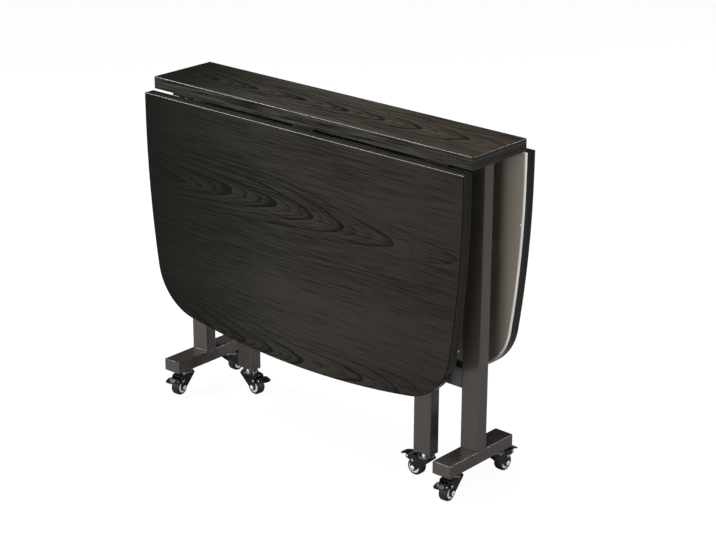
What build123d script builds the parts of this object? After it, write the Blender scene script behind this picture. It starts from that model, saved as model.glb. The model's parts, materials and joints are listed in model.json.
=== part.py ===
from build123d import *
import os
from math import cos, radians, sin

# Rolling drop-leaf table, folded for storage. A narrow fixed top stands on two T-shaped end frames
# joined by two rails. A leaf hangs from each long edge, a gate leg is folded behind each leaf, and
# six braked swivel casters carry the whole. Millimetres, +X along the top, -Y towards the front
# leaf, +Z up, origin on the floor under the middle of the whole.

# The middle of the fixed top along Y: the casters reach further out at the back than at the front
middle_y = -7.5

# Boards
table_height = 746.0
top_length = 890.0
top_width = 172.0
board = 27.0
edge_band = 1.5
band_bevel = 0.8
top_corner_radius = 3.0

# Leaf outline: straight upper sides, then arcs tangent to each other down to a bowed lower edge
leaf_gap = 3.6
leaf_offset = 1.6
leaf_straight = 43.5
side_radius = 2340.0
side_turn = 8.6
corner_radius = 124.0
corner_turn = 72.3

# Hinges between the fixed top and the leaves
hinge_places = (-355.0, 0.0, 355.0)
hinge_length = 60.0
hinge_plate = 1.2
hinge_reach = 28.0
hinge_weld = 0.8
hinge_drop = 2.3
knuckle_radius = 2.0
hinge_pin_radius = 1.0
hinge_pin_clearance = 0.05
knuckle_share = 0.34
knuckle_end_gap = 0.3
knuckle_clearance = 0.5

# Steel frame, all of rectangular tube
frame_inset = 25.0
post_width = 46.0
post_depth = 29.0
foot_height = 28.0
foot_length = 209.0
foot_bottom = 59.6
tube_wall = 1.5
tube_corner = 2.0
end_plate = 2.0
top_plate_length = 106.0
top_plate = 4.0
lower_rail_bottom = 219.5
rail_height = 46.0

# Screws up into the fixed top
screw_radius = 2.4
screw_head_radius = 5.0
screw_head = 2.6
screw_bite = 15.0
screw_clearance = 0.1
rail_screw_places = (-250.0, 0.0, 250.0)
plate_screw_offset = 44.0

# Gate legs: leg centre and pivot along X, and the distance of both from the middle plane
gate_leg_place = {"front": 299.0, "back": -286.0}
gate_arm = 449.0
gate_offset = 35.0
gate_leg_width = 46.0
gate_depth = 28.0
gate_stile = 26.0
stile_bottom = 224.5
stile_top = 707.5
gate_rail_bottoms = (232.0, 672.0)
leg_top = 714.0
leg_cap = 4.5
cap_bevel = 1.5
cap_plug = 12.0
cap_fit = 0.2
leg_bottom_plate = 3.0
lug = 4.0
lug_gap = 0.5
pivot_radius = 5.0
pivot_length = 20.0
pivot_clearance = 0.05

# Casters: swivel place under each foot, then sizes about the swivel axis
foot_caster_offset = 71.5
wheel_radius = 19.0
tyre_width = 20.0
tyre_shoulder = ((10.0, 15.0), (9.0, 17.4), (7.0, 18.7), (4.5, 19.0))
hub_radius = 11.0
hub_width = 19.0
hub_ring_radius = 7.5
hub_ring_step = 1.2
axle_radius = 3.0
axle_clearance = 0.05
axle_cap_radius = 5.5
axle_cap_bevel = 1.5
axle_cap = 3.7
trail = 23.0
fork_slot = 24.2
fork_sheet = 1.8
crown_radius = 20.0
crown_bottom = 46.0
crown_top = 49.0
fork_nose = (-13.0, 4.0)
fork_heel = (27.0, 4.5)
fork_heel_drop = 5.5
boss_radius = 8.0
kingpin_radius = 4.0
kingpin_clearance = 0.3
cup_radius = 17.0
cup_bottom = 49.6
cup_top = 52.0
nut_across_flats = 13.0
rivet_head_radius = 7.0
rivet_head = 2.2
rivet_gap = 0.3
stem_length = 16.0

# Brake pedal, in the caster's own plane: distance along the trail, then height. Its two arms
# straddle the tyre between the fork's plates, and each turns on a short pin riveted to a plate.
pedal_pivot = (25.0, 35.0)
pedal_pin_radius = 1.6
pedal_pin_head_radius = 3.0
pedal_pin_head = 0.9
pedal_pin_clearance = 0.05
pedal_pin_inset = 10.3
arm_inner = 10.4
arm_outer = 11.6
arm_end_radius = 4.0
pedal_rivet = (41.5, 39.0)
pedal_rivet_radius = 2.0
pedal_plate = ((33.5, 41.6), (41.0, 45.0), (46.0, 45.8), (61.3, 41.3))
pedal_sheet = 1.8
pedal_tip_round = 6.0
shoe_bar = (39.0, 36.5)
shoe_radius = 2.2
shoe_web = 1.6

# Worked out from the dimensions above
top_bottom = table_height - board
leaf_top = top_bottom - leaf_gap
leaf_inner = top_width / 2 + leaf_offset
hinge_y = leaf_inner - hinge_drop
hinge_z = top_bottom - hinge_drop
post_centre = top_length / 2 - frame_inset - post_width / 2
post_inner = post_centre - post_width / 2
foot_top = foot_bottom + foot_height
upper_rail_bottom = top_bottom - rail_height
wheel_centre = wheel_radius
fork_outer = fork_slot / 2 + fork_sheet
sides = {"front": -1, "back": 1}

casters = {
    "right_front": (post_centre, -foot_caster_offset, -84.5),
    "left_front": (-post_centre, -foot_caster_offset, -82.0),
    "right_back": (post_centre, foot_caster_offset, 87.0),
    "left_back": (-post_centre, foot_caster_offset, 90.0),
    "front_gate": (gate_leg_place["front"], middle_y - gate_offset, 180.0),
    "back_gate": (gate_leg_place["back"], middle_y + gate_offset, -2.5),
}

os.makedirs("parts", exist_ok=True)


def level(z):
    """Plane seen from above at height z, with the middle of the fixed top as its origin."""
    return Plane(origin=(0, middle_y, z))


def across(x):
    """Plane square to the hinge line at x, with Y across from the middle of the top and Z up."""
    return Plane(origin=(x, middle_y, 0), x_dir=(0, 1, 0), z_dir=(1, 0, 0))


# Fixed top: a laminated board with a plastic band round its four edges
with BuildPart() as centre_plank:
    with BuildSketch(level(top_bottom)):
        RectangleRounded(
            top_length - 2 * edge_band, top_width - 2 * edge_band, top_corner_radius - edge_band
        )
    extrude(amount=board)
    with BuildSketch(level(top_bottom)):
        with Locations(*[(x, 0) for x in rail_screw_places]):
            Circle(screw_radius)
        with GridLocations(2 * post_centre, 2 * plate_screw_offset, 2, 2):
            Circle(screw_radius)
    extrude(amount=screw_bite, mode=Mode.SUBTRACT)
centre_plank.part.label = "centre_plank"
export_step(centre_plank.part, "parts/centre_plank.step")

with BuildPart() as plank_edge_band:
    with BuildSketch(level(top_bottom)):
        RectangleRounded(top_length, top_width, top_corner_radius)
        RectangleRounded(
            top_length - 2 * edge_band,
            top_width - 2 * edge_band,
            top_corner_radius - edge_band,
            mode=Mode.SUBTRACT,
        )
    extrude(amount=board)
    rims = plank_edge_band.faces().sort_by(Axis.Z)
    chamfer(rims[-1].outer_wire().edges() + rims[0].outer_wire().edges(), length=band_bevel)
plank_edge_band.part.label = "plank_edge_band"
export_step(plank_edge_band.part, "parts/plank_edge_band.step")

# Leaf outline in its own plane, X across and Y up
with BuildSketch() as leaf_outline:
    with BuildLine():
        side = Line((top_length / 2, leaf_top), (top_length / 2, leaf_top - leaf_straight))
        bow = JernArc(side @ 1, side % 1, side_radius, -side_turn)
        corner = JernArc(bow @ 1, bow % 1, corner_radius, -corner_turn)
        end_turn = 90 - side_turn - corner_turn
        end_radius = (corner @ 1).X / sin(radians(end_turn))
        end = JernArc(corner @ 1, corner % 1, end_radius, -end_turn)
        mirror(about=Plane.YZ)
        Line((-top_length / 2, leaf_top), (top_length / 2, leaf_top))
    make_face()
leaf_bottom = (end @ 1).Y


def leaf_plane(which):
    """Plane of the leaf's face that looks towards +Y, from which it is extruded towards -Y."""
    near = leaf_inner if which == "front" else -leaf_inner - board
    return Plane.XZ.offset(near - middle_y)


for which in sides:
    with BuildPart() as leaf:
        with BuildSketch(leaf_plane(which)):
            offset(leaf_outline.sketch_local, amount=-edge_band)
        extrude(amount=board)
    leaf.part.label = f"{which}_leaf"
    export_step(leaf.part, f"parts/{leaf.part.label}.step")

    with BuildPart() as leaf_band:
        with BuildSketch(leaf_plane(which)):
            add(leaf_outline.sketch_local)
            offset(leaf_outline.sketch_local, amount=-edge_band, mode=Mode.SUBTRACT)
        extrude(amount=board)
        rims = leaf_band.faces().sort_by(Axis.Y)
        chamfer(rims[0].outer_wire().edges() + rims[-1].outer_wire().edges(), length=band_bevel)
    leaf_band.part.label = f"{which}_leaf_edge_band"
    export_step(leaf_band.part, f"parts/{leaf_band.part.label}.step")

# Hinges: three knuckles each, the outer two on the fixed top's plate and the middle on the leaf's
knuckle_length = hinge_length * knuckle_share
outer_knuckle = (hinge_length - knuckle_length) / 2 - knuckle_end_gap
bore_radius = hinge_pin_radius + hinge_pin_clearance
outer_knuckle_places = [
    x + end * (hinge_length - outer_knuckle) / 2 for x in hinge_places for end in (-1, 1)
]
set_back = knuckle_radius + knuckle_clearance
bridge_reach = set_back - hinge_weld
bridge_centre = (set_back + hinge_weld) / 2


with BuildPart() as plank_hinge_plates:
    for way in sides.values():
        with BuildSketch(level(top_bottom - hinge_plate)):
            with Locations(*[(x, way * (hinge_y - set_back - hinge_reach / 2)) for x in hinge_places]):
                Rectangle(hinge_length, hinge_reach)
            with Locations(*[(x, way * (hinge_y - bridge_centre)) for x in outer_knuckle_places]):
                Rectangle(outer_knuckle, bridge_reach)
        extrude(amount=hinge_plate)
        for x in outer_knuckle_places:
            with BuildSketch(across(x)):
                with Locations((way * hinge_y, hinge_z)):
                    Circle(knuckle_radius)
            extrude(amount=outer_knuckle / 2, both=True)
        for x in hinge_places:
            with BuildSketch(across(x)):
                with Locations((way * hinge_y, hinge_z)):
                    Circle(bore_radius)
            extrude(amount=hinge_length / 2, both=True, mode=Mode.SUBTRACT)
plank_hinge_plates.part.label = "plank_hinge_plates"
export_step(plank_hinge_plates.part, "parts/plank_hinge_plates.step")

with BuildPart() as hinge_pins:
    for x in hinge_places:
        with BuildSketch(across(x)):
            with Locations((hinge_y, hinge_z), (-hinge_y, hinge_z)):
                Circle(hinge_pin_radius)
        extrude(amount=hinge_length / 2, both=True)
hinge_pins.part.label = "hinge_pins"
export_step(hinge_pins.part, "parts/hinge_pins.step")

for which, way in sides.items():
    plate_face = leaf_inner if which == "front" else -leaf_inner
    with BuildPart() as leaf_hinge_plates:
        with BuildSketch(Plane.XZ.offset(plate_face - middle_y)):
            with Locations(*[(x, hinge_z - set_back - hinge_reach / 2) for x in hinge_places]):
                Rectangle(hinge_length, hinge_reach)
            with Locations(*[(x, hinge_z - bridge_centre) for x in hinge_places]):
                Rectangle(knuckle_length, bridge_reach)
        extrude(amount=way * hinge_plate)
        for x in hinge_places:
            with BuildSketch(across(x)):
                with Locations((way * hinge_y, hinge_z)):
                    Circle(knuckle_radius)
            extrude(amount=knuckle_length / 2, both=True)
            with BuildSketch(across(x)):
                with Locations((way * hinge_y, hinge_z)):
                    Circle(bore_radius)
            extrude(amount=hinge_length / 2, both=True, mode=Mode.SUBTRACT)
    leaf_hinge_plates.part.label = f"{which}_leaf_hinge_plates"
    export_step(leaf_hinge_plates.part, f"parts/{leaf_hinge_plates.part.label}.step")

# End frames: an upright post with a welded top plate, standing on a foot with closed ends
for which, end in {"left": -1, "right": 1}.items():
    x = end * post_centre
    with BuildPart() as post:
        with BuildSketch(Plane(origin=(x, middle_y, foot_top))):
            RectangleRounded(post_width, post_depth, tube_corner)
            RectangleRounded(
                post_width - 2 * tube_wall,
                post_depth - 2 * tube_wall,
                tube_corner - tube_wall,
                mode=Mode.SUBTRACT,
            )
        extrude(amount=top_bottom - top_plate - foot_top)
        with BuildSketch(Plane(origin=(x, middle_y, top_bottom - top_plate))):
            RectangleRounded(post_width, top_plate_length, tube_corner)
            with GridLocations(0, 2 * plate_screw_offset, 1, 2):
                Circle(screw_radius + screw_clearance, mode=Mode.SUBTRACT)
        extrude(amount=top_plate)
    post.part.label = f"{which}_post"
    export_step(post.part, f"parts/{post.part.label}.step")

    with BuildPart() as foot:
        with BuildSketch(Plane.XZ.offset(-foot_length / 2 - middle_y)):
            with Locations((x, foot_bottom + foot_height / 2)):
                RectangleRounded(post_width, foot_height, tube_corner)
        extrude(amount=foot_length)
        with BuildSketch(Plane.XZ.offset(-foot_length / 2 + end_plate - middle_y)):
            with Locations((x, foot_bottom + foot_height / 2)):
                RectangleRounded(
                    post_width - 2 * tube_wall, foot_height - 2 * tube_wall, tube_corner - tube_wall
                )
        extrude(amount=foot_length - 2 * end_plate, mode=Mode.SUBTRACT)
        with BuildSketch(Plane(origin=(x, 0, foot_bottom))):
            with GridLocations(0, 2 * foot_caster_offset, 1, 2):
                Circle(kingpin_radius + screw_clearance)
        extrude(amount=tube_wall, mode=Mode.SUBTRACT)
    foot.part.label = f"{which}_foot"
    export_step(foot.part, f"parts/{foot.part.label}.step")

# Rails between the posts: the upper one carries the fixed top, both carry the gate pivots
for name, bottom in {"upper_rail": upper_rail_bottom, "lower_rail": lower_rail_bottom}.items():
    with BuildPart() as rail:
        with BuildSketch(Plane.YZ.offset(-post_inner)):
            with Locations((middle_y, bottom + rail_height / 2)):
                RectangleRounded(post_depth, rail_height, tube_corner)
                RectangleRounded(
                    post_depth - 2 * tube_wall,
                    rail_height - 2 * tube_wall,
                    tube_corner - tube_wall,
                    mode=Mode.SUBTRACT,
                )
        extrude(amount=2 * post_inner)
        if name == "upper_rail":
            with BuildSketch(level(bottom)):
                with Locations(*[(x, 0) for x in rail_screw_places]):
                    Circle(screw_radius + screw_clearance)
            extrude(amount=rail_height, mode=Mode.SUBTRACT)
    rail.part.label = name
    export_step(rail.part, f"parts/{name}.step")

# Screws that hold the fixed top: long ones through the upper rail, short ones through the plates
plate_screw_places = [
    (x, y)
    for x in (-post_centre, post_centre)
    for y in (-plate_screw_offset, plate_screw_offset)
]
with BuildPart() as plank_screws:
    for places, seat in (
        ([(x, 0) for x in rail_screw_places], upper_rail_bottom),
        (plate_screw_places, top_bottom - top_plate),
    ):
        with BuildSketch(level(seat)):
            with Locations(*places):
                Circle(screw_radius)
        extrude(amount=top_bottom + screw_bite - seat)
        with BuildSketch(level(seat)):
            with Locations(*places):
                Circle(screw_head_radius)
        extrude(amount=-screw_head)
plank_screws.part.label = "plank_screws"
export_step(plank_screws.part, "parts/plank_screws.step")

# Gate pivots: lugs welded to the rails' faces, each with a pin that enters the end of the stile
with BuildPart() as gate_pivots:
    for which, way in sides.items():
        x = gate_leg_place[which] + way * gate_arm
        reach = gate_offset + gate_stile / 2 - post_depth / 2
        for seat, up in ((stile_bottom - lug_gap, 1), (stile_top + lug_gap, -1)):
            with BuildSketch(level(seat)):
                with Locations((x, way * (post_depth / 2 + reach / 2))):
                    Rectangle(gate_stile, reach)
            extrude(amount=-up * lug)
            with BuildSketch(level(seat)):
                with Locations((x, way * gate_offset)):
                    Circle(pivot_radius)
            extrude(amount=up * (pivot_length + lug_gap))
gate_pivots.part.label = "gate_pivots"
export_step(gate_pivots.part, "parts/gate_pivots.step")

# Gate legs: a stile on the pivots, two rails and a leg on a caster, capped under the leaf
for which, way in sides.items():
    leg_x = gate_leg_place[which]
    stile_x = leg_x + way * gate_arm
    y = middle_y + way * gate_offset

    with BuildPart() as stile:
        with BuildSketch(Plane(origin=(stile_x, y, stile_bottom))):
            RectangleRounded(gate_stile, gate_stile, tube_corner)
        extrude(amount=stile_top - stile_bottom)
        with BuildSketch(Plane(origin=(stile_x, y, stile_bottom + pivot_length))):
            RectangleRounded(gate_stile - 2 * tube_wall, gate_stile - 2 * tube_wall, tube_corner - tube_wall)
        extrude(amount=stile_top - stile_bottom - 2 * pivot_length, mode=Mode.SUBTRACT)
        with BuildSketch(Plane(origin=(stile_x, y, stile_bottom))):
            Circle(pivot_radius + pivot_clearance)
        extrude(amount=stile_top - stile_bottom, mode=Mode.SUBTRACT)
    stile.part.label = f"{which}_gate_stile"
    export_step(stile.part, f"parts/{stile.part.label}.step")

    rail_ends = sorted((stile_x - way * gate_stile / 2, leg_x + way * gate_leg_width / 2))
    with BuildPart() as gate_rails:
        with BuildSketch(Plane.YZ.offset(rail_ends[0])):
            with Locations(*[(y, z + gate_depth / 2) for z in gate_rail_bottoms]):
                RectangleRounded(gate_depth, gate_depth, tube_corner)
                RectangleRounded(
                    gate_depth - 2 * tube_wall,
                    gate_depth - 2 * tube_wall,
                    tube_corner - tube_wall,
                    mode=Mode.SUBTRACT,
                )
        extrude(amount=rail_ends[1] - rail_ends[0])
    gate_rails.part.label = f"{which}_gate_rails"
    export_step(gate_rails.part, f"parts/{gate_rails.part.label}.step")

    with BuildPart() as leg:
        with BuildSketch(Plane(origin=(leg_x, y, foot_bottom))):
            RectangleRounded(gate_leg_width, gate_depth, tube_corner)
        extrude(amount=leg_top - foot_bottom)
        with BuildSketch(Plane(origin=(leg_x, y, foot_bottom + leg_bottom_plate))):
            RectangleRounded(
                gate_leg_width - 2 * tube_wall, gate_depth - 2 * tube_wall, tube_corner - tube_wall
            )
        extrude(amount=leg_top - foot_bottom - leg_bottom_plate, mode=Mode.SUBTRACT)
        with BuildSketch(Plane(origin=(leg_x, y, foot_bottom))):
            Circle(kingpin_radius + screw_clearance)
        extrude(amount=leg_bottom_plate, mode=Mode.SUBTRACT)
    leg.part.label = f"{which}_gate_leg"
    export_step(leg.part, f"parts/{leg.part.label}.step")

    with BuildPart() as cap:
        with BuildSketch(Plane(origin=(leg_x, y, leg_top))):
            RectangleRounded(gate_leg_width, gate_depth, tube_corner)
        extrude(amount=leg_cap)
        chamfer(cap.faces().sort_by(Axis.Z)[-1].edges(), length=cap_bevel)
        with BuildSketch(Plane(origin=(leg_x, y, leg_top))):
            Rectangle(
                gate_leg_width - 2 * (tube_wall + cap_fit), gate_depth - 2 * (tube_wall + cap_fit)
            )
        extrude(amount=-cap_plug)
    cap.part.label = f"{which}_gate_cap"
    export_step(cap.part, f"parts/{cap.part.label}.step")


# Swivel stems: riveted king pin, upper ball cup, nut, and the thread up into the tube
stem_places = {
    "foot_caster_stems": ("right_front", "left_front", "right_back", "left_back"),
    "front_gate_caster_stem": ("front_gate",),
    "back_gate_caster_stem": ("back_gate",),
}
pin_foot = crown_bottom - rivet_gap
for node, places in stem_places.items():
    with BuildPart() as stem:
        for place in places:
            x, y, heading = casters[place]
            with BuildSketch(Plane(origin=(x, y, pin_foot - rivet_head))):
                Circle(rivet_head_radius)
            extrude(amount=rivet_head)
            with BuildSketch(Plane(origin=(x, y, pin_foot))):
                Circle(kingpin_radius)
            extrude(amount=foot_bottom + stem_length - pin_foot)
            with BuildSketch(Plane(origin=(x, y, cup_bottom))):
                Circle(cup_radius)
            extrude(amount=cup_top - cup_bottom)
            with BuildSketch(Plane(origin=(x, y, cup_top))):
                RegularPolygon(nut_across_flats / 2, 6, major_radius=False)
            extrude(amount=foot_bottom - cup_top)
    stem.part.label = node
    export_step(stem.part, f"parts/{node}.step")

# Casters, each in planes of its own: side on to the wheel, and through the wheel's axle
for name, (x, y, heading) in casters.items():
    along = Vector(cos(radians(heading)), sin(radians(heading)), 0)
    lateral = Vector(0, 0, 1).cross(along)
    side = Plane(origin=(x, y, 0), x_dir=along, z_dir=-lateral)
    plan = Plane(origin=(x, y, 0), x_dir=along, z_dir=(0, 0, 1))
    hub_centre = Vector(x, y, wheel_centre) + along * trail
    radial = Plane(origin=hub_centre, x_dir=lateral, z_dir=along)
    axle_line = Axis(hub_centre, lateral)

    # Fork: one plate bent down at both sides of the wheel, under a round crown
    with BuildPart() as fork:
        with BuildSketch(side):
            with Locations((fork_nose[0], crown_top - fork_nose[1])):
                Circle(fork_nose[1])
            with Locations((fork_heel[0], crown_top - fork_heel_drop)):
                Circle(fork_heel[1])
            with Locations((trail, wheel_centre)):
                Circle(boss_radius)
            make_hull()
        extrude(amount=fork_outer, both=True)
        with BuildSketch(side):
            with Locations((0, crown_bottom)):
                Rectangle(4 * crown_radius, 2 * crown_bottom, align=(Align.CENTER, Align.MAX))
        extrude(amount=fork_slot / 2, both=True, mode=Mode.SUBTRACT)
        with BuildSketch(plan.offset(crown_bottom)):
            Circle(crown_radius)
        extrude(amount=crown_top - crown_bottom)
        with BuildSketch(plan.offset(crown_bottom)):
            Circle(kingpin_radius + kingpin_clearance)
        extrude(amount=crown_top - crown_bottom, mode=Mode.SUBTRACT)
        with BuildSketch(side):
            with Locations((trail, wheel_centre)):
                Circle(axle_radius)
        extrude(amount=fork_outer, both=True, mode=Mode.SUBTRACT)
        for way in (-1, 1):
            with BuildSketch(side.offset(way * pedal_pin_inset)):
                with Locations(pedal_pivot):
                    Circle(pedal_pin_radius)
            extrude(amount=way * (fork_outer - pedal_pin_inset))
            with BuildSketch(side.offset(way * fork_outer)):
                with Locations(pedal_pivot):
                    Circle(pedal_pin_head_radius)
            extrude(amount=way * pedal_pin_head)
    fork.part.label = f"{name}_caster_fork"
    export_step(fork.part, f"parts/{fork.part.label}.step")

    # Axle: a plain shaft held by a domed cap outside each plate
    with BuildPart() as axle:
        with BuildSketch(radial):
            with BuildLine():
                cap_end = fork_outer + axle_cap
                Polyline(
                    (-cap_end, 0),
                    (-cap_end, axle_cap_radius - axle_cap_bevel),
                    (-cap_end + axle_cap_bevel, axle_cap_radius),
                    (-fork_outer, axle_cap_radius),
                    (-fork_outer, axle_radius),
                    (0, axle_radius),
                )
                mirror(about=Plane.YZ)
                Line((-cap_end, 0), (cap_end, 0))
            make_face()
        revolve(axis=axle_line)
    axle.part.label = f"{name}_caster_axle"
    export_step(axle.part, f"parts/{axle.part.label}.step")

    # Hub: a moulded ring round the axle, recessed inside its rim on both sides
    bore = axle_radius + axle_clearance
    with BuildPart() as hub:
        with BuildSketch(radial):
            with Locations((0, (hub_radius + bore) / 2)):
                Rectangle(hub_width, hub_radius - bore)
            ring_middle = (hub_ring_radius + bore) / 2
            with Locations((-hub_width / 2, ring_middle), (hub_width / 2, ring_middle)):
                Rectangle(2 * hub_ring_step, hub_ring_radius - bore, mode=Mode.SUBTRACT)
        revolve(axis=axle_line)
    hub.part.label = f"{name}_caster_hub"
    export_step(hub.part, f"parts/{hub.part.label}.step")

    # Tyre: a tread with rounded shoulders, moulded on the hub
    with BuildPart() as tyre:
        with BuildSketch(radial):
            with BuildLine():
                Polyline((0, wheel_radius), *reversed(tyre_shoulder), (tyre_width / 2, hub_radius))
                mirror(about=Plane.YZ)
                Line((-tyre_width / 2, hub_radius), (tyre_width / 2, hub_radius))
            make_face()
        revolve(axis=axle_line)
    tyre.part.label = f"{name}_caster_tyre"
    export_step(tyre.part, f"parts/{tyre.part.label}.step")

    # Brake pedal: two arms joined by a foot plate, and a shoe bar that meets the tyre when pressed
    plate_under = [(u, z - pedal_sheet) for u, z in pedal_plate]
    web_top = plate_under[1]
    with BuildPart() as pedal:
        with BuildSketch(side) as arms:
            with Locations(pedal_pivot, pedal_rivet):
                Circle(arm_end_radius)
            with Locations((web_top[0], web_top[1] - shoe_web / 2)):
                Circle(shoe_web)
            make_hull()
        extrude(amount=arm_outer, both=True)
        extrude(arms.sketch, amount=arm_inner, both=True, mode=Mode.SUBTRACT)
        with BuildSketch(side):
            with BuildLine():
                Polyline(*pedal_plate, *reversed(plate_under), close=True)
            make_face()
        extrude(amount=arm_outer, both=True)
        with BuildSketch(plan):
            with Locations((pedal_plate[-1][0], 0)):
                RectangleRounded(
                    2 * pedal_plate[-1][0], 2 * arm_outer, pedal_tip_round,
                    align=(Align.MAX, Align.CENTER),
                )
        extrude(amount=crown_top, mode=Mode.INTERSECT)
        with BuildSketch(side):
            with Locations(shoe_bar):
                Circle(shoe_radius)
            with Locations((shoe_bar[0], web_top[1])):
                Circle(shoe_web)
            make_hull()
        extrude(amount=arm_inner, both=True)
        with BuildSketch(side):
            with Locations(pedal_rivet):
                Circle(pedal_rivet_radius)
        extrude(amount=arm_outer + pedal_pin_head / 2, both=True)
        with BuildSketch(side):
            with Locations(pedal_pivot):
                Circle(pedal_pin_radius + pedal_pin_clearance)
        extrude(amount=arm_outer, both=True, mode=Mode.SUBTRACT)
    pedal.part.label = f"{name}_brake_pedal"
    export_step(pedal.part, f"parts/{pedal.part.label}.step")
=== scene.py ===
import json
from math import cos, radians, sin

import bmesh
import bpy
import numpy as np
from mathutils import Matrix, Vector


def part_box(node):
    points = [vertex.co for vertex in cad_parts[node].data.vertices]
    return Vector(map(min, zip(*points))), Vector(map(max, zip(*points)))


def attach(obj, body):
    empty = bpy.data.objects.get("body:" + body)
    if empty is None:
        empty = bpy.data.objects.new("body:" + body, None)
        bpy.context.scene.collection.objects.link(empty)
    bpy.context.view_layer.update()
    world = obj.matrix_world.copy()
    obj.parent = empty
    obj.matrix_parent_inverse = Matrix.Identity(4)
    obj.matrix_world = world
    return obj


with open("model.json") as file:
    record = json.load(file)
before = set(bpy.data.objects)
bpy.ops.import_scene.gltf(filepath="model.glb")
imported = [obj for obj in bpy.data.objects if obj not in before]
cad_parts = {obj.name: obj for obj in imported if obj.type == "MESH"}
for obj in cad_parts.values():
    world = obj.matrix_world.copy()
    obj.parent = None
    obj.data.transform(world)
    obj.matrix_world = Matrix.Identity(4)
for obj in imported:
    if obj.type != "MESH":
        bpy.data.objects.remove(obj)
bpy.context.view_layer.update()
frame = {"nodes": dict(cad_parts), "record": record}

# The fixed top: a board faced with a dark wood-grain laminate, the grain running along its length,
# and with a pale balancing sheet on its underside. It is screwed down on the frame.
mm = 0.001
sheet_depth = 1.0
# The top's laminate colour is 1.3 times the leaves': painted light on its face turned up to the lamps.
top_figures, top_start, top_painted_lift = (-0.015, 0.6), -0.03, 1.3


def corners_of(node):
    """The lowest and the highest corner of a CAD node, in millimetres."""
    return [np.round(np.array(corner) / mm, 3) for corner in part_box(node)]


def finish_material(name, colour, roughness, metallic=0.0, specular=0.5):
    """A Principled material with plain constants on its own sockets."""
    material = bpy.data.materials.new(name)
    material.use_nodes = True
    shader = material.node_tree.nodes["Principled BSDF"]
    shader.inputs["Base Color"].default_value = (*colour, 1.0)
    shader.inputs["Roughness"].default_value = roughness
    shader.inputs["Metallic"].default_value = metallic
    shader.inputs["Specular IOR Level"].default_value = specular
    return material, material.node_tree, shader


def dress(material, *nodes):
    """Gives CAD nodes their finish."""
    for node in nodes:
        for place in frame["nodes"][node].material_slots:
            place.material = material


def result_of(tree, operation, *values):
    """A Math node: each of its inputs is a socket or a number."""
    node = tree.nodes.new("ShaderNodeMath")
    node.operation = operation
    for place, value in enumerate(values):
        if isinstance(value, (int, float)):
            node.inputs[place].default_value = value
        else:
            tree.links.new(value, node.inputs[place])
    return node.outputs[0]


def ramp_of(tree, value, stops):
    """A colour ramp over the value: stops are (place, colour)."""
    ramp = tree.nodes.new("ShaderNodeValToRGB")
    while len(ramp.color_ramp.elements) < len(stops):
        ramp.color_ramp.elements.new(1.0)
    for element, (place, colour) in zip(ramp.color_ramp.elements, stops):
        element.position = place
        element.color = (*colour, 1.0)
    tree.links.new(value, ramp.inputs["Fac"])
    return ramp.outputs["Color"]


def noise_of(tree, coordinates, stretch, detail):
    """Noise over coordinates stretched by three factors."""
    mapping = tree.nodes.new("ShaderNodeMapping")
    mapping.inputs["Scale"].default_value = stretch
    tree.links.new(coordinates, mapping.inputs["Vector"])
    noise = tree.nodes.new("ShaderNodeTexNoise")
    noise.inputs["Scale"].default_value = 1.0
    noise.inputs["Detail"].default_value = detail
    tree.links.new(mapping.outputs["Vector"], noise.inputs["Vector"])
    return noise.outputs["Fac"]


def blend_of(tree, share, first, second):
    """The first colour where the share is 0 and the second where it is 1."""
    both = tree.nodes.new("ShaderNodeMix")
    both.data_type = "RGBA"
    tree.links.new(share, both.inputs["Factor"])
    for place, value in (("A", first), ("B", second)):
        if isinstance(value, tuple):
            both.inputs[place].default_value = (*value, 1.0)
        else:
            tree.links.new(value, both.inputs[place])
    return both.outputs["Result"]


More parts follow.
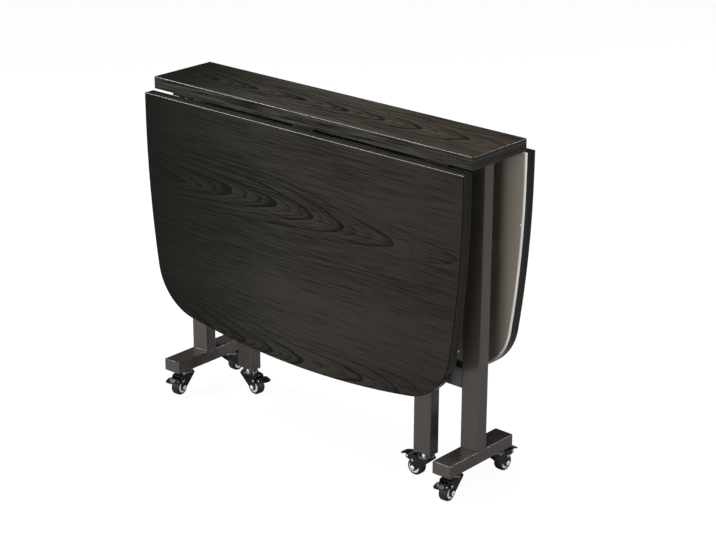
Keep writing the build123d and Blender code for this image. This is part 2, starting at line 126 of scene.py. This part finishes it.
def grain_group():
    """Printed wood grain, as a board sawn beside the heart of a tree shows it. A ring's size is the
    root of (distance across the board from the figure's middle, squared, plus depth of the heart,
    squared), and the depth grows along the board, so the rings close in pointed arches. Dark late
    wood is the fraction of (size x rings a metre) to a high power, with three fainter lines to a
    ring between, and it fades as size grows."""
    heart_depth, heart_slope, heart_wander, aside_wander = 0.074, 0.052, 0.5, 0.6
    wander_width, rings_a_metre, unevenness = 0.04, 165.0, 0.8
    late_power, fine_count, fine_power, fine_share = 6.5, 3.0, 3.0, 0.4
    full_strength, fading, least_strength = 3.0, -27.0, 0.15
    tree = bpy.data.node_groups.new("wood grain", "ShaderNodeTree")
    tree.interface.new_socket("Coordinates", in_out="INPUT", socket_type="NodeSocketVector")
    for made in ("Rings", "Streaks", "Cloud", "Pores"):
        tree.interface.new_socket(made, in_out="OUTPUT", socket_type="NodeSocketFloat")
    inside, outside = tree.nodes.new("NodeGroupInput"), tree.nodes.new("NodeGroupOutput")
    where = inside.outputs["Coordinates"]
    parts = tree.nodes.new("ShaderNodeSeparateXYZ")
    tree.links.new(where, parts.inputs[0])
    drift = noise_of(tree, where, (2.2, 6.0, 6.0), 0.6)
    wander = result_of(tree, "MULTIPLY_ADD", drift, wander_width, -wander_width / 2.0)
    depth = result_of(tree, "MULTIPLY_ADD", parts.outputs["X"], heart_slope, heart_depth)
    depth = result_of(tree, "MULTIPLY_ADD", wander, heart_wander, depth)
    squared = result_of(tree, "MULTIPLY", depth, depth)
    sizes = []
    for figure in ("Y", "Z"):
        aside = result_of(tree, "MULTIPLY_ADD", wander, aside_wander, parts.outputs[figure])
        sizes.append(result_of(tree, "SQRT", result_of(tree, "MULTIPLY_ADD", aside, aside, squared)))
    size = result_of(tree, "MINIMUM", *sizes)
    uneven = result_of(tree, "MULTIPLY", noise_of(tree, where, (2.4, 22.0, 22.0), 1.0), unevenness)
    count = result_of(tree, "MULTIPLY_ADD", size, rings_a_metre, uneven)
    late = result_of(tree, "POWER", result_of(tree, "FRACT", count), late_power)
    fine = result_of(tree, "FRACT", result_of(tree, "MULTIPLY", count, fine_count))
    late = result_of(tree, "MULTIPLY_ADD", result_of(tree, "POWER", fine, fine_power), fine_share, late)
    strength = result_of(tree, "MULTIPLY_ADD", size, fading, full_strength)
    strength = result_of(tree, "MAXIMUM", strength, least_strength)
    tree.links.new(result_of(tree, "MULTIPLY", late, strength), outside.inputs["Rings"])
    for made, stretch, detail in (
        ("Streaks", (9.0, 300.0, 300.0), 4.0),
        ("Cloud", (1.6, 6.0, 6.0), 1.0),
        ("Pores", (20.0, 900.0, 900.0), 2.0),
    ):
        tree.links.new(noise_of(tree, where, stretch, detail), outside.inputs[made])
    return tree


wood_grain = grain_group()


def grain_of(tree, across, first, second, start=0.0):
    """The grain group over a board: X runs along it and `across` over it, with two figure middles.
    Returns the group's outputs and the place on the board, both by name."""
    where = tree.nodes.new("ShaderNodeTexCoord").outputs["Object"]
    parts = tree.nodes.new("ShaderNodeSeparateXYZ")
    tree.links.new(where, parts.inputs[0])
    laid = tree.nodes.new("ShaderNodeCombineXYZ")
    for axis, source, middle in (("X", "X", start), ("Y", across, first), ("Z", across, second)):
        tree.links.new(result_of(tree, "SUBTRACT", parts.outputs[source], middle), laid.inputs[axis])
    grain = tree.nodes.new("ShaderNodeGroup")
    grain.node_tree = wood_grain
    tree.links.new(laid.outputs[0], grain.inputs["Coordinates"])
    return grain.outputs, parts.outputs


def paler(colour, share):
    """A colour with each of its three parts multiplied by the share."""
    return tuple(share * part for part in colour)


def laminate(name, across, figures, start, back_axis, back_place, flip=1.0, painted_lift=1.0):
    """Near-black grain on the show face, and the plain beige sheet where (place along back_axis x flip) is
    under back_place. Under the grain the colour is near-black and greener at the left end of the board,
    palest a little left of the middle and browner at the right: painted shade of light falling along
    the board. The last argument multiplies that colour: painted light on a face lit from above."""
    streak_weight, cloud_weight, ring_weight, shade_level = -3.6, -1.6, 2.3, 2.72
    falloff_slope, falloff_middle = 1.1, 0.5
    material, tree, shader = finish_material(name, (0.03, 0.024, 0.02), roughness=0.42, specular=0.12)
    grain, place = grain_of(tree, across, *figures, start)
    # Painted shade along the board: the base colour is near-black at the left end, palest a little left of
    # the middle, and darker and browner at the right.
    painted_falloff = result_of(tree, "MULTIPLY_ADD", place["X"], falloff_slope, falloff_middle)
    ground = ramp_of(tree, painted_falloff, (
        (0.0, paler((0.004, 0.005, 0.003), painted_lift)),
        (0.45, paler((0.0325, 0.029, 0.023), painted_lift)),
        (1.0, paler((0.0295, 0.0212, 0.017), painted_lift)),
    ))
    shade = result_of(tree, "MULTIPLY_ADD", grain["Streaks"], streak_weight, shade_level)
    shade = result_of(tree, "MULTIPLY_ADD", grain["Cloud"], cloud_weight, shade)
    shade = result_of(tree, "MULTIPLY_ADD", grain["Rings"], ring_weight, shade)
    show = blend_of(tree, shade, ground, (0.004, 0.004, 0.003))
    plain = ramp_of(tree, grain["Pores"], (
        (0.3, (0.27, 0.235, 0.195)),
        (0.7, (0.32, 0.28, 0.235)),
    ))
    behind = result_of(tree, "LESS_THAN", result_of(tree, "MULTIPLY", place[back_axis], flip), back_place)
    tree.links.new(blend_of(tree, behind, show, plain), shader.inputs["Base Color"])
    bump = tree.nodes.new("ShaderNodeBump")
    bump.inputs["Strength"].default_value = 0.12
    bump.inputs["Distance"].default_value = 0.2 * mm
    tree.links.new(grain["Pores"], bump.inputs["Height"])
    tree.links.new(bump.outputs["Normal"], shader.inputs["Normal"])
    return material


plank_low, plank_high = corners_of("centre_plank")
sheet_place = (plank_low[2] + sheet_depth) * mm
dress(
    laminate("top laminate", "Y", top_figures, top_start, "Z", sheet_place, painted_lift=top_painted_lift),
    "centre_plank",
)

# The edge bands: a thin plastic strip glued round every board, with the same streaks printed on it
# and eased corners. The leaves' bands get streaks about a third as bright as the top's: painted shade
# on their side edges, against the top's lit front edge. On the leaves the band's rim towards the frame
# is painted white, as painted highlight along the leaf's inner edge. `facing` is the way along Y that
# the show face of each hanging leaf looks.
# The width and colour of the white rim on the leaves' bands: painted highlight along each leaf's inner
# edge.
highlight_rim_width = 0.8
highlight_white = (0.75, 0.74, 0.72)
band_figures = (0.0, 1.4)
facing = {"front": -1.0, "back": 1.0}
leaf_inner_faces = {"front": corners_of("front_leaf")[1][1], "back": corners_of("back_leaf")[0][1]}


def fine_texture(tree, shader, cells, depth, rounding=0.0):
    """Orange peel of a moulded or coated skin: fine noise, of so many cells a metre, into the
    normal, over edges that are rounded by a small radius where one is given. Depth and radius are
    in millimetres. Returns the noise."""
    where = tree.nodes.new("ShaderNodeTexCoord").outputs["Object"]
    height = noise_of(tree, where, (cells, cells, cells), 2.0)
    bump = tree.nodes.new("ShaderNodeBump")
    bump.inputs["Strength"].default_value = 0.3
    bump.inputs["Distance"].default_value = depth * mm
    tree.links.new(height, bump.inputs["Height"])
    if rounding:
        eased = tree.nodes.new("ShaderNodeBevel")
        eased.inputs["Radius"].default_value = rounding * mm
        tree.links.new(eased.outputs["Normal"], bump.inputs["Normal"])
    tree.links.new(bump.outputs["Normal"], shader.inputs["Normal"])
    return height


def banding(name, across, pale_streak, highlight_place=0.0, flip=0.0):
    """Dark plastic with grain streaks along the strip, which differ only along `across`, and a white rim
    where (place along Y x flip) is under the given place: painted highlight along a leaf's inner edge."""
    material, tree, shader = finish_material(name, (0.02, 0.018, 0.016), roughness=0.2, specular=0.18)
    grain, place = grain_of(tree, across, *band_figures)
    fine_texture(tree, shader, cells=900.0, depth=0.03)
    streaked = ramp_of(tree, grain["Streaks"], (
        (0.40, (0.001, 0.001, 0.001)),
        (0.60, pale_streak),
    ))
    if flip:
        rim = result_of(tree, "LESS_THAN", result_of(tree, "MULTIPLY", place["Y"], flip), highlight_place)
        streaked = blend_of(tree, rim, streaked, highlight_white)
    tree.links.new(streaked, shader.inputs["Base Color"])
    return material


dress(banding("top edge band", "Z", (0.052, 0.048, 0.040)), "plank_edge_band")
# The leaves' bands get streaks about a third as bright as the top band's: painted shade on their side
# edges.
for which, flip in facing.items():
    highlight_place = (flip * leaf_inner_faces[which] + highlight_rim_width) * mm
    strip = banding(f"{which} leaf edge band", "Y", (0.018, 0.017, 0.014), highlight_place, flip)
    dress(strip, f"{which}_leaf_edge_band")

# The two leaves: the same board as the top, cut to a bowed outline and hung on hinges. The show
# face is the one turned outwards while a leaf hangs, and the beige sheet faces the frame.
leaf_figures = {"front": ((0.545, 0.215), -0.11), "back": ((0.480, 0.170), 0.0)}
for which, flip in facing.items():
    figures, start = leaf_figures[which]
    sheet_place = (flip * leaf_inner_faces[which] + sheet_depth) * mm
    dress(laminate(f"{which} leaf laminate", "Z", figures, start, "Y", sheet_place, flip), f"{which}_leaf")

# Leaf studs: a small white plastic bumper on the inner face of each leaf, near its right edge. The
# front one stands out like a button, the back one is nearly flush.


def vary(tree, height, low, high, socket):
    """Lets a socket run from one colour to another with the height of a fine texture."""
    tree.links.new(ramp_of(tree, height, ((0.3, low), (0.7, high))), socket)


def turned(profile, centre, axis, steps=32):
    """Points of a profile turned round an axis: each (distance, radius) goes to
    centre + distance x axis + radius x (first x cosine of the turn + second x its sine)."""
    axis = np.array(axis, float) / np.linalg.norm(axis)
    aside = (0.0, 0.0, 1.0) if abs(axis[2]) < 0.9 else (1.0, 0.0, 0.0)
    first = np.cross(axis, aside)
    first = first / np.linalg.norm(first)
    second = np.cross(axis, first)
    turns = np.linspace(0.0, 2.0 * np.pi, steps, endpoint=False)
    circle = np.cos(turns)[:, None] * first + np.sin(turns)[:, None] * second
    profile = np.array(profile, float)
    return np.array(centre) + profile[:, 0, None, None] * axis + profile[:, 1, None, None] * circle


def add_piece(name, material, body, grids):
    """One object of several closed surfaces: each grid of points, in millimetres, joins round in
    its second direction, points that coincide are merged, and the normals are turned outwards."""
    merge_within = 0.0001 * mm
    points, faces, count = [], [], 0
    for grid in grids:
        rows, columns = grid.shape[:2]
        index = count + np.arange(rows * columns).reshape(rows, columns)
        beside = np.roll(index, -1, axis=1)
        faces.append(np.stack((index[:-1], beside[:-1], beside[1:], index[1:]), axis=-1).reshape(-1, 4))
        points.append(grid.reshape(-1, 3) * mm)
        count += rows * columns
    mesh = bpy.data.meshes.new(name)
    mesh.from_pydata(np.concatenate(points).tolist(), [], np.concatenate(faces).tolist())
    shape = bmesh.new()
    shape.from_mesh(mesh)
    bmesh.ops.remove_doubles(shape, verts=shape.verts, dist=merge_within)
    bmesh.ops.recalc_face_normals(shape, faces=shape.faces)
    shape.to_mesh(mesh)
    shape.free()
    mesh.shade_smooth()
    mesh.materials.append(material)
    piece = bpy.data.objects.new(name, mesh)
    bpy.context.scene.collection.objects.link(piece)
    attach(piece, body)


white_plastic, tree, shader = finish_material("white plastic", (0.9, 0.9, 0.89), roughness=0.25)
moulding = fine_texture(tree, shader, cells=600.0, depth=0.05)
vary(tree, moulding, (0.88, 0.88, 0.87), (0.94, 0.94, 0.93), shader.inputs["Base Color"])
stud_radius, stud_root = 2.2, -0.3
for which, along, up, height in (("front", 417.5, 336.5, 5.0), ("back", 435.5, 562.3, 1.2)):
    dome = (
        (stud_root, 0.0),
        (stud_root, stud_radius),
        (height - 0.8, stud_radius),
        (height - 0.2, 1.5),
        (height, 0.0),
    )
    stud = turned(dome, (along, leaf_inner_faces[which], up), (0.0, -facing[which], 0.0))
    add_piece(f"{which}_leaf_stud", white_plastic, f"{which}_leaf", [stud])

# Sheet edges: the beige sheet is glued on and trimmed. A white strip on it beside the band, along both
# sides and the lower edge of each leaf, is painted highlight of the bright line along the leaf's inner
# edge.
half_length = corners_of("front_leaf_edge_band")[1][0]
straight_end, straight_length = 671.9, 43.0
side_radius, side_turn = 2340.0, 8.6
corner_radius, corner_turn = 124.0, 80.9
line_start, line_end, line_sunk, line_proud = 0.9, 6.0, -0.05, 0.15


def leaf_edge(steps=40):
    """Points (x, z) and outward directions along a leaf's edge: down the right side by a line and
    three arcs tangent to each other, then up the left side as their mirror image. A point of an
    arc is its start + radius x (outward direction there - outward direction at the start), and the
    last arc's radius brings it to the middle of the lower edge."""
    place = np.array((half_length, straight_end))
    points, ways = [place + np.array(((0.0, straight_length),))], [np.array(((1.0, 0.0),))]
    for radius, start, stop in (
        (side_radius, 0.0, side_turn),
        (corner_radius, side_turn, corner_turn),
        (None, corner_turn, 90.0),
    ):
        turns = np.radians(np.linspace(start, stop, steps))
        outward = np.stack((np.cos(turns), -np.sin(turns)), axis=-1)
        radius = radius or place[0] / outward[0, 0]
        arc = place + radius * (outward - outward[0])
        points.append(arc)
        ways.append(outward)
        place = arc[-1]
    points, ways = np.concatenate(points), np.concatenate(ways)
    mirror = np.array((-1.0, 1.0))
    return np.concatenate((points, points[::-1] * mirror)), np.concatenate((ways, ways[::-1] * mirror))


edge_points, edge_ways = leaf_edge()
section = np.array((
    (line_start, line_sunk),
    (line_start, line_proud),
    (line_end, line_proud),
    (line_end, line_sunk),
))
for which, flip in facing.items():
    inset = edge_points[:, None, :] - section[None, :, :1] * edge_ways[:, None, :]
    lift = np.broadcast_to(leaf_inner_faces[which] - flip * section[:, 1], inset.shape[:2])
    strip = np.stack((inset[..., 0], lift, inset[..., 1]), axis=-1)
    ends = [np.broadcast_to(strip[end].mean(axis=0), (1, 4, 3)) for end in (0, -1)]
    closed = np.concatenate((ends[0], strip, ends[1]))
    add_piece(f"{which}_leaf_edge_highlight", white_plastic, f"{which}_leaf", [closed])

# The frame: rectangular steel tube, welded together and powder coated grey-brown. Posts, feet,
# rails, gate legs and their pivots all have the same coat.
coat, tree, shader = finish_material("powder coat", (0.05, 0.043, 0.039), roughness=0.2, specular=0.9)
peel = fine_texture(tree, shader, cells=420.0, depth=0.04, rounding=3.2)
vary(tree, peel, (0.047, 0.039, 0.036), (0.059, 0.050, 0.046), shader.inputs["Base Color"])
dress(coat, "left_post", "right_post", "left_foot", "right_foot", "upper_rail", "lower_rail", "gate_pivots")
for which in facing:
    dress(coat, f"{which}_gate_stile", f"{which}_gate_rails", f"{which}_gate_leg")

# Weld beads, under the same coat: where the posts stand on the feet, where the lower rail meets
# the posts and where the gate rails meet the stile and the leg. Each stops short of the corners.
foot_bead, foot_stop = 1.5, 3.0
rail_bead, rail_stop = 1.4, 2.5
gate_bead, gate_stop, gate_rail_height = 1.3, 3.0, 28.0


def bead(start, end, radius):
    """A straight weld bead: circles along the line from start to end, whose radius falls to
    nothing at both ends, as the root of (1 - distance from the middle to a high power), and swells
    a little at even steps."""
    step, swell_every, swell_share, blunt = 0.8, 2.4, 0.12, 12
    start, end = np.array(start, float), np.array(end, float)
    length = np.linalg.norm(end - start)
    share = np.linspace(0.0, 1.0, int(length / step))
    thickness = np.sqrt(np.clip(1.0 - (2.0 * share - 1.0) ** blunt, 0.0, 1.0))
    thickness = thickness * (1.0 + swell_share * np.cos(2.0 * np.pi * share * length / swell_every))
    profile = np.stack((share * length, radius * thickness), axis=-1)
    return turned(profile, start, end - start, steps=10)


def bead_across(x, z, low, high, stop, radius):
    """A bead along Y over a tube that reaches from the corner low to the corner high."""
    return bead((x, low[1] + stop, z), (x, high[1] - stop, z), radius)


rail_low, rail_high = corners_of("lower_rail")
frame_beads = []
for side, joined_at in (("left", rail_low[0]), ("right", rail_high[0])):
    foot_low, foot_high = corners_of(f"{side}_foot")
    for y in (rail_low[1], rail_high[1]):
        start = (foot_low[0] + foot_stop, y, foot_high[2])
        end = (foot_high[0] - foot_stop, y, foot_high[2])
        frame_beads.append(bead(start, end, foot_bead))
    for z in (rail_low[2], rail_high[2]):
        frame_beads.append(bead_across(joined_at, z, rail_low, rail_high, rail_stop, rail_bead))
add_piece("frame_weld_beads", coat, "frame", frame_beads)
for which in facing:
    low, high = corners_of(f"{which}_gate_rails")
    gate_beads = []
    for x in (low[0], high[0]):
        for z in (low[2], low[2] + gate_rail_height, high[2] - gate_rail_height, high[2]):
            gate_beads.append(bead_across(x, z, low, high, gate_stop, gate_bead))
    add_piece(f"{which}_gate_weld_beads", coat, f"{which}_gate", gate_beads)

# Bright steel: the screws that hold the top down, and the stems on which the casters swivel. They
# are brushed and left uncoated.


def grey(level):
    """A colour without hue, or a plain level for a socket that takes a number."""
    return (level, level, level)


steel, tree, shader = finish_material("bright steel", (0.62, 0.62, 0.61), roughness=0.3, metallic=1.0)
brushed = fine_texture(tree, shader, cells=1500.0, depth=0.05)
vary(tree, brushed, grey(0.24), grey(0.38), shader.inputs["Roughness"])
dress(steel, "plank_screws", "foot_caster_stems", "front_gate_caster_stem", "back_gate_caster_stem")

# The hinges: blackened steel plates and pins, as nothing bright shows in the gap over the leaf,
# with three low domed screw heads in a row on every plate.
hinge_places, screw_places = (-355.0, 0.0, 355.0), (-22.0, 0.0, 22.0)
plate_depth, plank_screw_reach, leaf_screw_height = 1.2, 68.8, 700.2
screw_head = ((-0.4, 0.0), (-0.4, 3.0), (0.2, 2.8), (0.7, 1.8), (0.9, 0.0))
blackened, tree, shader = finish_material("blackened steel", grey(0.006), roughness=0.6, specular=0.1)
oiled = fine_texture(tree, shader, cells=800.0, depth=0.05)
vary(tree, oiled, grey(0.004), grey(0.008), shader.inputs["Base Color"])
dress(blackened, "plank_hinge_plates", "hinge_pins", "front_leaf_hinge_plates", "back_leaf_hinge_plates")
plank_middle = (plank_low[1] + plank_high[1]) / 2.0
plank_heads = []
for which, flip in facing.items():
    leaf_heads = []
    plank_y = plank_middle + flip * plank_screw_reach
    leaf_y = leaf_inner_faces[which] - flip * plate_depth
    for x in [hinge + screw for hinge in hinge_places for screw in screw_places]:
        plank_place = (x, plank_y, plank_low[2] - plate_depth)
        leaf_place = (x, leaf_y, leaf_screw_height)
        plank_heads.append(turned(screw_head, plank_place, (0, 0, -1), steps=20))
        leaf_heads.append(turned(screw_head, leaf_place, (0, -flip, 0), steps=20))
    add_piece(f"{which}_leaf_hinge_screws", blackened, f"{which}_leaf", leaf_heads)
add_piece("plank_hinge_screws", blackened, "frame", plank_heads)

# The casters: black pressed forks and pedals, a black rubber tyre on a white moulded hub, and a
# polished axle. The caps on the gate legs' tops are moulded in the same black.
caster_names = ("right_front", "left_front", "right_back", "left_back", "front_gate", "back_gate")
caster_black, tree, shader = finish_material("caster black", grey(0.010), roughness=0.14, specular=0.45)
lacquer = fine_texture(tree, shader, cells=700.0, depth=0.03, rounding=0.8)
vary(tree, lacquer, grey(0.008), grey(0.014), shader.inputs["Base Color"])
tyre_black, tree, shader = finish_material("tyre rubber", grey(0.012), roughness=0.45)
rubber = fine_texture(tree, shader, cells=500.0, depth=0.2)
vary(tree, rubber, grey(0.009), grey(0.016), shader.inputs["Base Color"])
polish, tree, shader = finish_material("polished steel", grey(0.85), roughness=0.15, metallic=1.0)
polished = fine_texture(tree, shader, cells=900.0, depth=0.02)
vary(tree, polished, grey(0.12), grey(0.2), shader.inputs["Roughness"])
for caster in caster_names:
    dress(caster_black, f"{caster}_caster_fork", f"{caster}_brake_pedal")
    dress(tyre_black, f"{caster}_caster_tyre")
    dress(white_plastic, f"{caster}_caster_hub")
    dress(polish, f"{caster}_caster_axle")
dress(caster_black, "front_gate_cap", "back_gate_cap")

# What shines on each caster: a white ring on both sides of the wheel, zinc domes on the axle's caps,
# and domed heads on the pedal's pins and rivets. The domes' half-white diffuse colour is painted
# highlight on top of their plating. Their places are back and up from the wheel's middle, and each
# profile's distances are from the wheel's middle plane.
side_ring = ((9.45, 7.6), (10.1, 7.6), (10.2, 7.9), (10.2, 12.9), (9.9, 13.2), (9.45, 7.6))
axle_dome = (
    (15.9, 0.0), (15.9, 5.6), (16.3, 5.6), (17.0, 5.1), (17.7, 4.1), (18.2, 2.7), (18.4, 1.3), (18.45, 0.0),
)
pin_head = ((13.8, 0.0), (13.8, 3.5), (14.5, 3.4), (14.9, 3.1), (15.2, 2.0), (15.3, 0.0))
rivet_head = ((11.5, 0.0), (11.5, 2.5), (11.9, 2.4), (12.15, 2.1), (12.4, 1.2), (12.45, 0.0))
# Only partly metallic over a near-white colour: painted highlight on the axle domes, beside their plated
# shine.
zinc_and_highlight, tree, shader = finish_material("bright zinc", grey(0.88), roughness=0.25, metallic=0.4)
plated = fine_texture(tree, shader, cells=900.0, depth=0.03)
vary(tree, plated, grey(0.22), grey(0.32), shader.inputs["Roughness"])
joint_of = {joint["name"]: joint for joint in frame["record"]["behaviour"]["joints"]}
for caster in caster_names:
    roll = joint_of[f"{caster}_wheel_roll"]
    lateral, upward = Vector(roll["axis"]), Vector((0, 0, 1))
    backward = lateral.cross(upward)
    wheel_middle = Vector(roll["pos_m"]) / mm
    for name, body, profile, back, up, material in (
        ("wheel_rings", "wheel", side_ring, 0.0, 0.0, white_plastic),
        ("axle_domes", "swivel", axle_dome, 0.0, 0.0, zinc_and_highlight),
        ("pin_heads", "swivel", pin_head, 2.0, 16.0, polish),
        ("rivet_heads", "pedal", rivet_head, 18.5, 20.0, polish),
    ):
        centre = wheel_middle + backward * back + upward * up
        pair = [turned(profile, centre, lateral * way) for way in (-1.0, 1.0)]
        add_piece(f"{caster}_{name}", material, f"{caster}_{body}", pair)

# The studio floor: pale, and wide enough to end out of sight. Seen directly it glows up to white
# and keeps a soft shadow, while it throws little light back on the object.
floor_half = 30.0
floor_glow, glow_share = 1.32, 0.72
floor_mesh = bpy.data.meshes.new("floor")
floor_corners = [(x * floor_half, y * floor_half, 0.0) for x, y in ((-1, -1), (1, -1), (1, 1), (-1, 1))]
floor_mesh.from_pydata(floor_corners, [], [(0, 1, 2, 3)])
floor = bpy.data.objects.new("floor", floor_mesh)
bpy.context.scene.collection.objects.link(floor)


def seen_directly(tree):
    """1 for the camera's own rays and for those that pass through something clear, else 0."""
    rays = tree.nodes.new("ShaderNodeLightPath")
    return result_of(tree, "MAXIMUM", rays.outputs["Is Camera Ray"], rays.outputs["Is Transmission Ray"])


floor_white, tree, shader = finish_material("floor white", grey(0.22), roughness=0.8)
glow = tree.nodes.new("ShaderNodeEmission")
glow.inputs["Strength"].default_value = floor_glow
both = tree.nodes.new("ShaderNodeMixShader")
tree.links.new(result_of(tree, "MULTIPLY", seen_directly(tree), glow_share), both.inputs["Fac"])
tree.links.new(shader.outputs[0], both.inputs[1])
tree.links.new(glow.outputs[0], both.inputs[2])
tree.links.new(both.outputs[0], tree.nodes["Material Output"].inputs["Surface"])
floor.data.materials.append(floor_white)

# The surround: plain white where it is seen, and nearly dark for everything else, so that the
# lamps alone draw the edges.
surround_light = 0.02
world = bpy.data.worlds.new("surround")
bpy.context.scene.world = world
world.use_nodes = True
tree = world.node_tree
brightness = result_of(tree, "MULTIPLY_ADD", seen_directly(tree), 1.0 - surround_light, surround_light)
tree.links.new(brightness, tree.nodes["Background"].inputs["Strength"])
tree.nodes["Background"].inputs["Color"].default_value = (1.0, 1.0, 1.0, 1.0)

# The lamps: two strips high on the left that line the front edges and one behind that lines the
# side edges, one over the top, a low one behind the right end, two wide weak ones in front and one
# behind. All are turned to one point inside the table. Places and sizes are in metres, power in watts.
lamps_aim = Vector((0.0, 0.0, 0.4))
for name, place, width, depth, power in (
    ("upper strip", (-2.27, -1.24, 3.53), 2.1, 0.26, 80.0),
    ("lower strip", (-2.40, -1.99, 3.03), 2.3, 0.26, 50.0),
    ("over", (0.10, -0.05, 3.60), 1.0, 0.8, 105.0),
    ("low right", (3.20, 1.15, 1.10), 0.6, 0.6, 35.0),
    ("front", (1.30, -3.75, 1.20), 2.0, 2.0, 96.0),
    ("front left", (-2.60, -3.20, 1.60), 1.2, 1.2, 34.0),
    ("behind", (0.30, 4.00, 1.20), 2.0, 2.0, 45.0),
    ("back strip", (1.66, 2.97, 2.80), 1.5, 0.3, 26.0),
):
    lamp = bpy.data.lights.new(name, "AREA")
    lamp.shape = "RECTANGLE"
    lamp.size, lamp.size_y = width, depth
    lamp.energy = power
    away = (Vector(place) - lamps_aim).normalized()
    wide = (Vector((1, 0, 0)) - away * away.x).normalized()
    turned_to = Matrix((wide, away.cross(wide), away)).transposed().to_4x4()
    holder = bpy.data.objects.new(name, lamp)
    holder.matrix_world = Matrix.Translation(place) @ turned_to
    bpy.context.scene.collection.objects.link(holder)

# The camera, solved from the photo: in front of the right end and above the top, looking down at
# a point inside the table, and turned a little about its own axis.
turn, rise, roll_angle = radians(41.34), radians(20.72), radians(0.20)
aim, distance = Vector((0.20133, -0.14855, 0.47096)), 3.91359
focal_in_pixels, picture_width = 1941.54, 716
sensor_width = 36.0
back = Vector((sin(turn) * cos(rise), -cos(turn) * cos(rise), sin(rise)))
level_right = (-back).cross(Vector((0, 0, 1))).normalized()
level_up = level_right.cross(-back)
across = level_right * cos(roll_angle) + level_up * sin(roll_angle)
upright = level_up * cos(roll_angle) - level_right * sin(roll_angle)
turned_to = Matrix((across, upright, back)).transposed().to_4x4()
camera = bpy.data.cameras.new("camera")
camera.sensor_width = sensor_width
camera.lens = sensor_width * focal_in_pixels / picture_width
camera.clip_end = 100.0
viewer = bpy.data.objects.new("camera", camera)
viewer.matrix_world = Matrix.Translation(aim + back * distance) @ turned_to
bpy.context.scene.collection.objects.link(viewer)
bpy.context.scene.camera = viewer
bpy.context.scene.view_settings.view_transform = "Standard"
